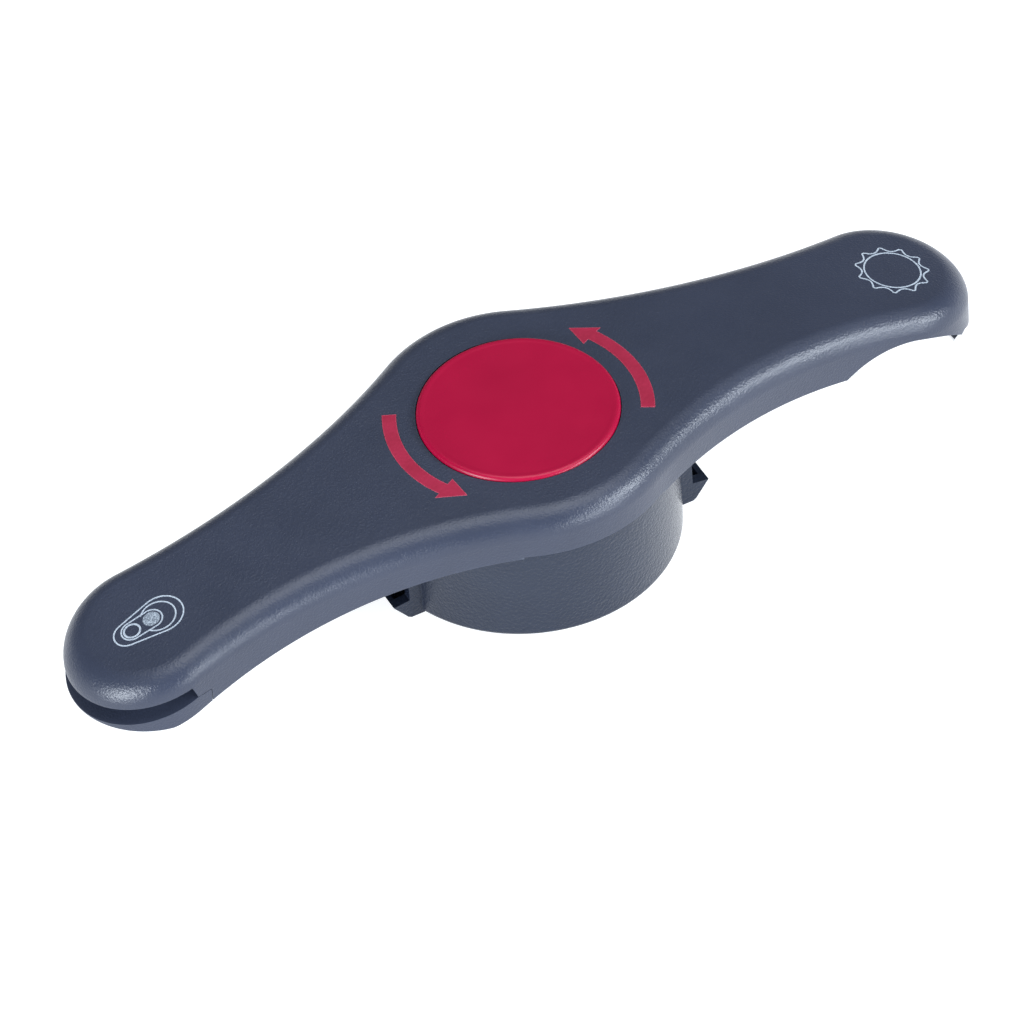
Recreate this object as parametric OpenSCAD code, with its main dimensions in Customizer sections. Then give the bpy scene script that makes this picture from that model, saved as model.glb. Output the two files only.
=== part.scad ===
// Two-armed hand opener for screw caps, vacuum lids, ring pulls and crown caps.
// Millimetres. +Z is up and +X runs along the handle towards the crown-cap end.
// The origin is under the middle of the hub, on the plane that the grip cup stands on.

/* [Handle] */
// Radius of the round hub in the middle
hub_r = 31.5; // [31.2:0.1:33]
// Radius of the rounded lobe at each end
end_r = 16.6; // [15.5:0.1:18]
// Distance from the hub's centre to each lobe's centre
end_x = 85.6; // [82:0.2:90]
// Radius of the hollow curve between hub and lobe
waist_r = 119.5; // [105:0.5:135]
// Radius of the rounded upper edge
edge_r = 5; // [3:0.5:6]
// Radius of the arch of the top, seen from the side
top_arch_r = 405; // [380:5:450]
// Radius of the arch of the lower edge, seen from the side
low_arch_r = 307; // [290:1:330]
// Thickness of the moulding's side walls
wall_t = 2.6; // [2:0.1:3]
// Thickness of the moulding's top
top_t = 5.1; // [4.6:0.1:5.2]

/* [Heights] */
// Top of the hub above the standing plane
hub_top = 31.9; // [31.6:0.1:32.2]
// Lower edge of the handle at the hub
hub_low = 22.3; // [22.2:0.1:22.5]
// Top of the cap in the middle of the hub
cap_top = 32.4; // [32.3:0.1:32.8]
// Underside of the ring-pull lip, the lowest point of the arms
lip_low = 9; // [8:0.2:10]

/* [Grip cup] */
// Outer radius at the top of the cup
cup_r = 31.1; // [30.8:0.1:31.2]
// Inward slope of the cup's wall from top to bottom
cup_taper = 0.1; // [0:0.1:0.5]
// Inner radius of the cup
cup_bore_r = 28; // [27.9:0.1:28.2]
// How far the lid hooks stand out from the axis
hook_x = 35.2; // [34.8:0.1:36.5]
// Width of a lid hook
hook_w = 22.3; // [18:0.1:24]
// Angle of the hooks from the handle's long axis
hook_turn = -4; // [-8:1:8]

/* [Gripping jaws] */
// How far each jaw slides inwards
jaw_travel = 6; // [4:0.5:6]
// How far the carrier turns to close the jaws
carrier_turn = 40; // [30:1:45]
// Width of a jaw
jaw_w = 16; // [14:0.5:17]
// Distance from the axis to the middle of an open jaw's pad
jaw_open_r = 18.5; // [18:0.1:19]

/* [Centre cap and marks] */
// Radius of the cap in the middle of the hub
cap_r = 20.1; // [19.5:0.1:20.2]
// Inner radius of the curved arrows
arrow_in_r = 24; // [23.5:0.1:24.2]
// Outer radius of the curved arrows
arrow_out_r = 26.8; // [26.5:0.1:27]
// Angle at the tail of the arrow on the crown-cap side
arrow_tail = -32.5; // [-40:0.5:-25]
// Angle at the tip of that arrow
arrow_tip = 34.7; // [30:0.1:40]

/* [Ring-pull and crown-cap ends] */
// Where the ring-pull slot ends, from the hub's centre
slot_end_x = 84; // [82.5:0.1:85]
// Where the lip piece starts, from the hub's centre
lip_end_x = 80.7; // [79.5:0.1:81.5]
// Height of the lip's upper face at the slot's closed end
lip_top = 14.6; // [14.2:0.1:15]
// Fall of the lip's upper face for each millimetre towards the tip
lip_fall = 0.29; // [0.2:0.01:0.29]
// Middle of the crown-cap arch from the hub's centre
crown_x = 78; // [76:0.5:79]
// Radius of the crown-cap arch
crown_r = 22.3; // [22:0.1:22.6]
// Height of the top of the crown-cap arch
crown_top = 18.3; // [18:0.1:18.4]
// Thickness of the steel crown plate
plate_t = 1.2; // [1:0.1:1.2]

/* [Hidden] */
$fn = 96;

slate = [0.29, 0.32, 0.38];
cup_grey = [0.30, 0.33, 0.35];
cap_red = [0.72, 0.10, 0.23];
arrow_red = [0.78, 0.18, 0.28];
steel = [0.78, 0.79, 0.80];
rubber = [0.12, 0.12, 0.13];
inner_grey = [0.45, 0.47, 0.50];

fit = 0.15;                 // gap between pieces that are fastened together
slip = 0.1;                 // gap on each side of a piece that slides
eps = 0.01;

// Outline of the handle from above
tip_x = end_x + end_r;
hub_to_waist = hub_r + waist_r;
end_to_waist = end_r + waist_r;
waist_x = (pow(hub_to_waist, 2) - pow(end_to_waist, 2) + end_x * end_x) / (2 * end_x);
waist_y = sqrt(pow(hub_to_waist, 2) - waist_x * waist_x);
end_angle = atan2(waist_y, waist_x - end_x);
hub_angle = atan2(waist_y, waist_x);

// Heights inside the cup, from the mouth upwards
ring_z = [0.4, 2.4];
jaw_z = [3, 12.3];
pad_z = [3.6, 11.7];
bumper_z = [10.2, 12.6];
head_z = [10.9, 12.5];
carrier_z = [12.6, 15.2];
shoe_z = [15.3, 16.7];
cam_z = [17.2, 19.7];
roof_z = [19.7, 22.3];
peg_top = 19.4;
hub_boss_top = 18.9;

washer_z = [24.4, 25.2];
nut_z = [25.2, 29.8];
bolt_top = 29.9;
cap_floor = 30.2;
hub_ceiling = 27.3;

// Places round the axis
jaw_angles = [90, 210, 330];
screw_angles = [130, 250, 10];
stud_angles = [30, 150, 270];
screw_ring_r = 21.5;
stud_ring_r = 14;
peg_ring_r = 22.5;
pad_t = 2.2;                // rubber behind the middle of a jaw's hollow front

// Pins, bolts and screws
peg_r = 1.8;
dowel_r = 1.25;             // round tail of a peg, pressed into its jaw
dowel_low = 9.6;
neck_l = 7;
neck_w = 4.8;
bolt_r = 4;
thread_r = 3;
pin_slip = 0.05;            // running gap round a pin
stud_r = 1.5;
screw_r = 1.45;
head_r = 2.75;
head_t = 1.3;
hub_wall_r = 26.5;          // hollow of the hub, and the cam plate under it
hub_core_r = 10;
boss_r = 7;                 // boss of the carrier, the washer over it and the bore of the pad under it
spring_leg_x = 12.8;

// Arm covers and their screws
cover_t = 2.6;
cover_lift = 0.3;
cover_head_r = 2.5;
cover_head_z = 0.5;         // height of a screw's head above the handle's lower edge
left_screw_x = [-44, -69];
right_screw_x = [43, 59];

// Ring-pull end
slot_lean = 0.32;           // the slot's end leans this far towards the tip for each millimetre up

// Crown-cap end
nub_x = crown_x + 16.3;     // the solid tip that backs the crown plate starts here
tip_step = 11;              // its underside beside the plate
beak_low = 8.4;             // and at the very tip
beak_x = [nub_x + 1.7, nub_x + 5.3];    // where the underside slopes from one to the other
tooth_inset = 0.6;
plate_rivet_y = 7;
plate_rivet_r = 1.1;

// Engraved arrows
arrow_depth = 0.7;
arrow_proud = 0.12;
arrow_head = 11.6;          // length of the head, in degrees
arrow_barb = 1.35;

function arc(cx, cy, r, a0, a1, n) = [
    for (i = [0:n]) [cx + r * cos(a0 + (a1 - a0) * i / n), cy + r * sin(a0 + (a1 - a0) * i / n)]
];
function tail(list) = [for (i = [1:len(list) - 1]) list[i]];
function back(list) = [for (i = [len(list) - 1:-1:0]) list[i]];

// A quarter of the outline, moved inwards by d: lobe, waist, hub
function quarter(d) = concat(
    arc(end_x, 0, end_r - d, 0, end_angle, 12),
    tail(arc(waist_x, waist_y, waist_r + d, end_angle - 180, hub_angle - 180, 14)),
    tail(arc(0, 0, hub_r - d, hub_angle, 90, 5))
);
function half(d) = concat(quarter(d), tail(back([for (p = quarter(d)) [-p.x, p.y]])));
function outline(d) = concat(half(d), [for (i = [len(half(d)) - 2:-1:1]) [half(d)[i].x, -half(d)[i].y]]);

function top_z(x) = hub_top - top_arch_r + sqrt(top_arch_r * top_arch_r - x * x);
function low_z(x) = max(lip_low, hub_low - low_arch_r + sqrt(low_arch_r * low_arch_r - x * x));

// ---------- helpers ----------

// Solid bounded by the handle's outline and rounded upper edge
module handle_skin() {
    steps = 5;
    n = len(outline(0));
    rings = concat(
        [[for (p = outline(0)) [p.x, p.y, low_z(p.x)]]],
        [for (j = [0:steps]) [
            for (p = outline(edge_r * (1 - cos(90 * j / steps))))
                [p.x, p.y, top_z(p.x) - edge_r * (1 - sin(90 * j / steps))]
        ]]
    );
    last = (len(rings) - 1) * n;
    sides = [
        for (j = [0:len(rings) - 2], i = [0:n - 1])
            let (a = j * n + i, b = j * n + (i + 1) % n, c = b + n, d = a + n)
                each [[a, d, c], [a, c, b]]
    ];
    caps = [
        for (i = [1:n / 2 - 2])
            each [[last + i, last + n - i, last + n - i - 1, last + i + 1], [i, i + 1, n - i - 1, n - i]]
    ];
    tips = [
        [last, last + n - 1, last + 1], [0, 1, n - 1],
        [last + n / 2 - 1, last + n / 2 + 1, last + n / 2],
        [n / 2 - 1, n / 2, n / 2 + 1]
    ];
    polyhedron([for (r = rings, p = r) p], concat(sides, caps, tips), convexity = 6);
}

// Everything inside the outline moved inwards by d, between two distances along X and two heights
module arm_slab(d, x, z) {
    translate([0, 0, z[0]]) linear_extrude(z[1] - z[0]) intersection() {
        polygon(outline(d));
        translate([x[0], -hub_r]) square([x[1] - x[0], 2 * hub_r]);
    }
}

module arm_block(d, x0, x1) {
    arm_slab(d, [x0, x1], [0, cap_top]);
}

// Everything under an arch of radius r whose top is at height z
module under_arch(r, z) {
    translate([0, 0, z - r]) rotate([90, 0, 0]) cylinder(r = r, h = 3 * hub_r, center = true, $fn = 360);
}

// A side profile in X and Z, carried across the handle
module across(points) {
    rotate([90, 0, 0]) linear_extrude(3 * hub_r, center = true) polygon(points);
}

// A screw pointing up, with a six-sided socket in its head
module screw(head_r, head_h, shank_l) {
    difference() {
        union() {
            cylinder(r = head_r, h = head_h);
            cylinder(r = screw_r, h = head_h + shank_l);
        }
        translate([0, 0, -eps]) cylinder(r = head_r * 0.5, h = head_h * 0.6, $fn = 6);
    }
}

// Puts a child in each direction in the list, facing outwards
module around(angles) {
    for (a = angles) rotate(a) children();
}

function arrow_points() = let (
    head = arrow_tip - arrow_head,
    inner = arrow_in_r - arrow_barb - 0.3,
    outer = arrow_out_r + arrow_barb,
    middle = (arrow_in_r + arrow_out_r) / 2 - 0.4
) concat(
    arc(0, 0, arrow_in_r, arrow_tail, head, 24),
    [inner * [cos(head), sin(head)], middle * [cos(arrow_tip), sin(arrow_tip)]],
    [outer * [cos(head), sin(head)]],
    arc(0, 0, arrow_out_r, head, arrow_tail, 24)
);

// One curved arrow, following the arched top between two depths under it
module arrow_layer(depth, proud) {
    difference() {
        intersection() {
            linear_extrude(cap_top) polygon(arrow_points());
            under_arch(top_arch_r + proud, hub_top + proud);
        }
        under_arch(top_arch_r - depth, hub_top - depth);
    }
}

// ---------- handle ----------

module crown_arch(grow) {
    translate([crown_x, 0, crown_top - crown_r])
        rotate([90, 0, 0]) cylinder(r = crown_r + grow, h = 3 * hub_r, center = true, $fn = 180);
}

function crown_z(x) = crown_top - crown_r + sqrt(pow(crown_r, 2) - pow(x - crown_x, 2));

// Everything below the solid tip, which steps down to a beak
module tip_underside() {
    far = nub_x + hub_r;
    across([
        [nub_x, -eps], [far, -eps], [far, beak_low], [beak_x[1], beak_low], [beak_x[0], tip_step], [nub_x, tip_step]
    ]);
}

// Post that a cover's screw bites into, ending just above the cover
module cover_boss(x) {
    boss_r = 3.4;
    gap = cover_lift + cover_t + fit;
    difference() {
        translate([x, 0, low_z(x)]) cylinder(r = boss_r, h = top_z(x) - low_z(x) - 2);
        under_arch(low_arch_r + gap, hub_low + gap);
    }
}

module hub_hollow() {
    boss_r = 4;
    difference() {
        translate([0, 0, hub_low - eps]) cylinder(r = hub_wall_r, h = hub_ceiling - hub_low);
        cylinder(r = hub_core_r, h = hub_top);
        around(screw_angles) translate([screw_ring_r, 0, 0]) cylinder(r = boss_r, h = hub_top);
    }
}

// Ring-pull slot, with a step under its closed end that the lip fills
module slot_cut() {
    past_tip_x = tip_x + 1;
    across([
        [-past_tip_x, 0], [-lip_end_x, 0], [-lip_end_x, lip_top], [-slot_end_x, lip_top],
        [-slot_end_x - slot_lean * (hub_top - lip_top), hub_top], [-past_tip_x, hub_top]
    ]);
}

// Hollows of the two arms, the room for the crown plate, and the ring-pull slot with the lip's room
module arm_hollows() {
    intersection() {
        union() {
            arm_block(wall_t, -lip_end_x + wall_t, -hub_r - 2);
            arm_block(wall_t, hub_r + 2, nub_x);
            slot_cut();
        }
        under_arch(top_arch_r - top_t, hub_top - top_t);
    }
    intersection() {
        arm_block(wall_t, crown_x - 10, nub_x);
        crown_arch(plate_t + fit);
    }
    arm_slab(wall_t, [-lip_end_x - 1, -lip_end_x + wall_t + 1], [0, lip_top]);
}

// Cap seat, nut pocket and all the screw and stud holes
module shell_holes() {
    pilot_r = screw_r + pin_slip;
    pocket_r = 7.2;
    translate([0, 0, cap_floor]) cylinder(r = cap_r + 0.2, h = 3);
    translate([0, 0, washer_z[0]]) cylinder(r = pocket_r, h = hub_top - washer_z[0]);
    translate([0, 0, hub_low - 1]) cylinder(r = thread_r + slip, h = 5);
    around(stud_angles) translate([stud_ring_r, 0, 27]) cylinder(r = stud_r + slip, h = 4);
    around(screw_angles) translate([screw_ring_r, 0, hub_low - 1]) cylinder(r = pilot_r, h = 6.8);
    for (x = concat(left_screw_x, right_screw_x))
        translate([x, 0, low_z(x)]) cylinder(r = pilot_r, h = 8.2);
    for (s = [-1, 1])
        translate([crown_x, plate_rivet_y * s, crown_top]) cylinder(r = plate_rivet_r + pin_slip, h = 3.8);
}

module handle_shell() {
    color(slate) difference() {
        union() {
            difference() {
                handle_skin();
                arm_hollows();
                crown_arch(0);
                tip_underside();
                // seat for the cup
                translate([0, 0, -eps]) cylinder(r = cup_r + 0.5, h = hub_low + eps);
                hub_hollow();
            }
            for (x = concat(left_screw_x, right_screw_x)) cover_boss(x);
        }
        shell_holes();
        around([0, 180]) arrow_layer(arrow_depth, 0.5);
    }
}

// Strip between the lower arch and a line cover_t above it
module cover_strip() {
    difference() {
        under_arch(low_arch_r + cover_lift + cover_t, hub_low + cover_lift + cover_t);
        under_arch(low_arch_r + cover_lift, hub_low + cover_lift);
    }
}

module cover_screw_holes(places) {
    for (x = places) {
        translate([x, 0, low_z(x) - 2]) cylinder(r = cover_head_r + 0.3, h = cover_head_z + head_t + 2);
        translate([x, 0, low_z(x)]) cylinder(r = screw_r + fit, h = 6);
    }
}

// Web that carries the lip, from the cover up to the slot
module lip_web() {
    outer_x = -lip_end_x - 3;
    inner_x = -lip_end_x + wall_t + 0.6;
    intersection() {
        arm_block(wall_t + fit, -lip_end_x - 2, inner_x);
        across([
            [outer_x, low_z(lip_end_x) + cover_lift], [inner_x, low_z(inner_x) + cover_lift],
            [inner_x, lip_top - fit], [outer_x, lip_top - fit]
        ]);
    }
}

// Lip under the slot, wedge-shaped towards the tip
module slot_lip() {
    start_x = lip_end_x + fit;
    face_z = lip_top - fit;
    past_tip_x = tip_x + 0.2;
    tip_z = max(lip_low + 0.1, face_z - lip_fall * (past_tip_x - slot_end_x));
    intersection() {
        arm_block(0, -tip_x, -start_x);
        across(concat(
            [[-past_tip_x, lip_low], [-past_tip_x, tip_z]],
            [[-slot_end_x, face_z], [-start_x, face_z]],
            [for (x = [start_x:1.5:start_x + 9]) [-x, low_z(x)]]
        ));
    }
}

module left_arm_cover() {
    color(slate) difference() {
        union() {
            intersection() {
                arm_block(wall_t + fit, -lip_end_x + wall_t + fit, -hub_r - 2.2);
                cover_strip();
            }
            lip_web();
            slot_lip();
        }
        cover_screw_holes(left_screw_x);
    }
}

module right_arm_cover() {
    color(slate) difference() {
        intersection() {
            arm_block(wall_t + fit, hub_r + 2.2, crown_x - 12.2);
            cover_strip();
        }
        cover_screw_holes(right_screw_x);
        crown_arch(plate_t + fit);
    }
}

module cover_screws() {
    color(steel) for (x = concat(left_screw_x, right_screw_x))
        translate([x, 0, low_z(x) + cover_head_z]) screw(cover_head_r, head_t, 5.5);
}

module crown_plate() {
    near_x = [crown_x - 10, crown_x - 8.6];
    near_z = crown_z(near_x[0]) - 1.3;
    far_x = [nub_x - 1.8, nub_x - 0.1];
    far_z = crown_z(far_x[1]) - 0.95;
    color(steel) difference() {
        union() {
            intersection() {
                arm_block(wall_t + fit, near_x[0], far_x[1]);
                difference() {
                    crown_arch(plate_t);
                    crown_arch(0);
                }
            }
            // teeth at both ends of the arch, each with a wider foot that shows at the sides
            arm_slab(wall_t + fit, near_x, [near_z, near_z + 2.5]);
            arm_slab(tooth_inset, near_x, [near_z, near_z + 1.1]);
            arm_slab(wall_t + fit, far_x, [far_z, far_z + 3.4]);
            arm_slab(tooth_inset, far_x, [far_z, far_z + 0.8]);
        }
        for (s = [-1, 1])
            translate([crown_x, plate_rivet_y * s, 0]) cylinder(r = plate_rivet_r + pin_slip, h = hub_top);
    }
}

module crown_plate_rivets() {
    color(steel) for (s = [-1, 1]) translate([crown_x, plate_rivet_y * s, 0]) {
        translate([0, 0, crown_top - 1.1]) cylinder(r = 2, h = 0.8);
        translate([0, 0, crown_top - 0.4]) cylinder(r = plate_rivet_r, h = 4);
    }
}

module centre_cap() {
    lip = 0.6;
    color(cap_red) {
        rotate_extrude() polygon(concat(
            [[0, cap_floor], [cap_r, cap_floor], [cap_r, cap_top - lip]],
            arc(cap_r - lip, cap_top - lip, lip, 20, 90, 4),
            [[cap_r - 1.3, cap_top - 0.15], [0, cap_top - 0.1]]
        ));
        around(stud_angles) translate([stud_ring_r, 0, 27.4]) cylinder(r = stud_r, h = 3);
    }
}

module arrow_inlay_front() {
    color(arrow_red) rotate(180) arrow_layer(arrow_depth - eps, arrow_proud);
}

module arrow_inlay_rear() {
    color(arrow_red) arrow_layer(arrow_depth - eps, arrow_proud);
}

// ---------- cup and cam ----------

// Hook that pries under a jar lid: a sloping lip with a pocket behind it, and a rib on each side
module lid_hook() {
    rib = 2.2;
    rib_top = 20;
    lip_z = 4.3;
    floor_t = 1.3;
    toe_x = hook_x - 3;
    rib_x = hook_x - 3.6;
    wall_x = cup_bore_r + 0.5;
    root = sqrt(pow(cup_r - cup_taper - 1.6, 2) - pow(hook_w / 2, 2));
    rotate([90, 0, 0]) linear_extrude(hook_w, center = true) polygon([
        [wall_x, 0], [toe_x, 0], [hook_x, lip_z], [hook_x - 1.2, lip_z],
        [toe_x - 0.2, floor_t], [wall_x, floor_t]
    ]);
    for (s = [-1, 1]) translate([0, s * (hook_w - rib) / 2, 0])
        rotate([90, 0, 0]) linear_extrude(rib, center = true) polygon([
            [root, 0], [toe_x, 0], [hook_x, lip_z], [rib_x, lip_z + 0.4], [rib_x, rib_top], [root, rib_top]
        ]);
}

module grip_cup() {
    color(cup_grey) difference() {
        union() {
            rotate_extrude() polygon(concat(
                [[0, roof_z[1]], [0, roof_z[0]], [cup_bore_r, roof_z[0]], [cup_bore_r, 0]],
                arc(cup_r - cup_taper - 1, 1, 1, -90, 0, 4),
                [[cup_r, roof_z[1] - 0.6], [cup_r - 0.6, roof_z[1]]]
            ));
            around([hook_turn, hook_turn + 180]) difference() {
                lid_hook();
                cylinder(r = cup_bore_r + 0.3, h = cap_top);
            }
        }
        translate([0, 0, roof_z[0] - 1]) cylinder(r = thread_r + slip, h = 5);
        around(screw_angles) translate([screw_ring_r, 0, roof_z[0] - 1]) cylinder(r = screw_r + fit, h = 5);
    }
}

// Ring that holds the jaws up in the cup, with a sloping mouth that leads a cap in
module mouth_ring() {
    outer_r = cup_bore_r - pin_slip;
    mouth_r = 20.3;
    color(inner_grey) rotate_extrude() polygon([
        [mouth_r + 1.2, ring_z[0]], [outer_r, ring_z[0]], [outer_r, ring_z[1]],
        [mouth_r, ring_z[1]], [mouth_r, ring_z[1] - 0.7]
    ]);
}

// Spiral slot for one jaw peg: the radius falls evenly as the angle falls
module spiral_slot() {
    n = 16;
    w = peg_r + fit;
    function at(t, side) = [
        (peg_ring_r - jaw_travel * t + side) * cos(-carrier_turn * t),
        (peg_ring_r - jaw_travel * t + side) * sin(-carrier_turn * t)
    ];
    lead = atan(jaw_travel / (peg_ring_r * carrier_turn * PI / 180));
    side = w / cos(lead);
    polygon(concat([for (i = [0:n]) at(i / n, side)], [for (i = [n:-1:0]) at(i / n, -side)]));
    translate([peg_ring_r, 0]) circle(r = w + slip);
    rotate(-carrier_turn) translate([peg_ring_r - jaw_travel, 0]) circle(r = w + slip);
}

module cam_plate() {
    color(steel) difference() {
        translate([0, 0, cam_z[0]]) cylinder(r = hub_wall_r, h = cam_z[1] - cam_z[0]);
        // room for the spring, and the notch that holds its fixed leg
        translate([0, 0, cam_z[0] - 1]) cylinder(r = 10.4, h = 5);
        translate([0, -0.8, cam_z[0] - 1]) cube([spring_leg_x + 0.4, 1.6, 5]);
        around(jaw_angles) translate([0, 0, cam_z[0] - 1]) linear_extrude(5) spiral_slot();
        around(screw_angles) translate([screw_ring_r, 0, cam_z[0] - 1]) {
            cylinder(r = screw_r + fit, h = 5);
            cylinder(r = head_r + fit, h = 2.5);
        }
    }
}

module hub_screws() {
    color(steel) around(screw_angles)
        translate([screw_ring_r, 0, cam_z[0] + 0.1]) screw(head_r, head_t, 9.2);
}

module pivot_bolt() {
    flange_r = 6.5;
    key_r = 2.9;
    shank_z = head_z[1] - eps;
    thread_z = roof_z[0] - eps;
    color(steel) difference() {
        union() {
            translate([0, 0, head_z[0]]) cylinder(r = flange_r, h = head_z[1] - head_z[0]);
            translate([0, 0, shank_z]) cylinder(r = bolt_r, h = roof_z[0] - shank_z);
            translate([0, 0, thread_z]) cylinder(r = thread_r, h = bolt_top - thread_z);
        }
        translate([0, 0, head_z[0] - eps]) cylinder(r = key_r, h = 1.1, $fn = 6);
    }
}

module pivot_washer() {
    color(steel) difference() {
        translate([0, 0, washer_z[0]]) cylinder(r = 6.6, h = washer_z[1] - washer_z[0]);
        translate([0, 0, washer_z[0] - 1]) cylinder(r = thread_r + slip, h = 3);
    }
}

module pivot_nut() {
    color(steel) difference() {
        translate([0, 0, nut_z[0]]) cylinder(r = 5.8, h = nut_z[1] - nut_z[0], $fn = 6);
        translate([0, 0, nut_z[0] - 1]) cylinder(r = thread_r + 0.02, h = 7);
    }
}

module thrust_washer() {
    color(inner_grey) difference() {
        translate([0, 0, hub_boss_top + 0.05]) cylinder(r = boss_r, h = roof_z[0] - hub_boss_top - 0.1);
        translate([0, 0, hub_boss_top - 1]) cylinder(r = bolt_r + pin_slip, h = 4);
    }
}

// Coil spring with a straight leg at each end: the path runs from the fixed leg to the moving one
module return_spring() {
    coil_r = 8.7;
    wire_r = 0.5;
    turns = 2.75;
    steps = 60;
    sides = 8;
    z_high = 18.6;
    z_low = 15.8;
    moving_leg = 1.4;       // how far out the moving leg reaches, as a share of the coil's radius
    function coil(t) = let (a = 360 * turns * t) [
        coil_r * cos(a), coil_r * sin(a), z_high + (z_low - z_high) * t
    ];
    end = coil(1);
    path = concat(
        [[spring_leg_x, 0, z_high], [coil_r + 1.5, 0, z_high]],
        [for (i = [0:steps]) coil(i / steps)],
        [for (reach = [1.15, moving_leg]) [end.x * reach, end.y * reach, z_low]]
    );
    n = len(path);
    function ahead(i) = path[min(i + 1, n - 1)] - path[max(i - 1, 0)];
    function unit(v) = v / norm(v);
    points = [
        for (i = [0:n - 1])
            let (u = unit(cross(ahead(i), [0, 0, 1])), v = unit(cross(u, ahead(i))))
                for (k = [0:sides - 1])
                    let (a = 360 * k / sides) path[i] + wire_r * (cos(a) * u + sin(a) * v)
    ];
    walls = [
        for (i = [0:n - 2], k = [0:sides - 1])
            let (a = i * sides + k, b = i * sides + (k + 1) % sides)
                each [[a, b, b + sides], [a, b + sides, a + sides]]
    ];
    ends = [[for (k = [sides - 1:-1:0]) k], [for (k = [0:sides - 1]) (n - 1) * sides + k]];
    color(steel) polyhedron(points, concat(walls, ends), convexity = 8);
}

// ---------- carrier and jaws ----------

module jaw_carrier() {
    end_gap = 0.3;
    slot_in = peg_ring_r - jaw_travel - neck_l / 2 - end_gap;
    slot_out = peg_ring_r + neck_l / 2 + end_gap;
    post_angle = -81;
    post_ring_r = 11;
    color(inner_grey) difference() {
        union() {
            translate([0, 0, carrier_z[0]]) cylinder(r = cup_bore_r - 0.4, h = carrier_z[1] - carrier_z[0]);
            translate([0, 0, carrier_z[1] - eps]) cylinder(r = boss_r, h = hub_boss_top - carrier_z[1]);
            // post that the spring's moving leg pushes on
            rotate(post_angle) translate([post_ring_r, 0, carrier_z[1] - eps]) cylinder(r = 0.8, h = 1.4);
        }
        translate([0, 0, carrier_z[0] - 1]) cylinder(r = bolt_r + pin_slip, h = 9);
        around(jaw_angles) translate([slot_in, -neck_w / 2 - slip, carrier_z[0] - 1])
            cube([slot_out - slot_in, neck_w + 2 * slip, 4]);
    }
}

module centre_pad() {
    groove = 0.25;
    color(rubber) difference() {
        translate([0, 0, bumper_z[0]]) cylinder(r = 11, h = bumper_z[1] - bumper_z[0]);
        translate([0, 0, bumper_z[0] - 1]) cylinder(r = boss_r, h = 5);
        // two round grooves
        for (r = [8.4, 9.8]) translate([0, 0, bumper_z[0] - eps]) difference() {
            cylinder(r = r + groove, h = 2 * groove);
            translate([0, 0, -1]) cylinder(r = r - groove, h = 3);
        }
    }
}

module jaw() {
    rear = peg_ring_r + neck_l / 2 + 0.2;
    front = jaw_open_r + pad_t;
    corner = 3;
    color(slate) difference() {
        union() {
            translate([0, 0, jaw_z[0]]) linear_extrude(jaw_z[1] - jaw_z[0]) polygon([
                [front, -jaw_w / 2], [rear - corner, -jaw_w / 2], [rear, -jaw_w / 2 + corner],
                [rear, jaw_w / 2 - corner], [rear - corner, jaw_w / 2], [front, jaw_w / 2]
            ]);
            translate([peg_ring_r - neck_l / 2, -neck_w / 2, jaw_z[1] - eps])
                cube([neck_l, neck_w, shoe_z[0] - jaw_z[1] + eps]);
        }
        translate([peg_ring_r, 0, dowel_low - 0.2]) cylinder(r = dowel_r + pin_slip, h = 10);
    }
}

// Rubber facing with a hollow front and upright grooves
module jaw_pad() {
    ribs = 7;
    pitch = 2.2;
    face_r = 15.5;
    face_x = jaw_open_r - face_r;
    horn = 6;               // how far the hollow front may reach in at the pad's sides
    color(rubber) difference() {
        translate([jaw_open_r - horn, -jaw_w / 2, pad_z[0]])
            cube([horn + pad_t, jaw_w, pad_z[1] - pad_z[0]]);
        translate([face_x, 0, -1]) cylinder(r = face_r, h = 20);
        for (i = [0:ribs - 1]) let (y = (i - (ribs - 1) / 2) * pitch)
            translate([face_x + sqrt(face_r * face_r - y * y), y, 0]) cylinder(r = 0.5, h = 20, $fn = 24);
    }
}

module jaw_peg() {
    shoe_l = 7.8;
    shoe_w = 7.6;
    color(steel) {
        translate([peg_ring_r - shoe_l / 2, -shoe_w / 2, shoe_z[0]])
            cube([shoe_l, shoe_w, shoe_z[1] - shoe_z[0]]);
        translate([peg_ring_r, 0, shoe_z[1] - eps]) cylinder(r = peg_r, h = peg_top - shoe_z[1]);
        translate([peg_ring_r, 0, dowel_low]) cylinder(r = dowel_r, h = shoe_z[0] - dowel_low + eps);
    }
}

handle_shell();
left_arm_cover();
right_arm_cover();
cover_screws();
crown_plate();
crown_plate_rivets();
centre_cap();
arrow_inlay_front();
arrow_inlay_rear();
grip_cup();
mouth_ring();
cam_plate();
hub_screws();
pivot_bolt();
pivot_washer();
pivot_nut();
thrust_washer();
return_spring();
jaw_carrier();
centre_pad();
rotate(jaw_angles[0]) jaw();  // jaw_1
rotate(jaw_angles[1]) jaw();  // jaw_2
rotate(jaw_angles[2]) jaw();  // jaw_3
rotate(jaw_angles[0]) jaw_pad();  // jaw_pad_1
rotate(jaw_angles[1]) jaw_pad();  // jaw_pad_2
rotate(jaw_angles[2]) jaw_pad();  // jaw_pad_3
rotate(jaw_angles[0]) jaw_peg();  // jaw_peg_1
rotate(jaw_angles[1]) jaw_peg();  // jaw_peg_2
rotate(jaw_angles[2]) jaw_peg();  // jaw_peg_3
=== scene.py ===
import math

import bmesh
import bpy
from mathutils import Matrix, Vector


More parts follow.
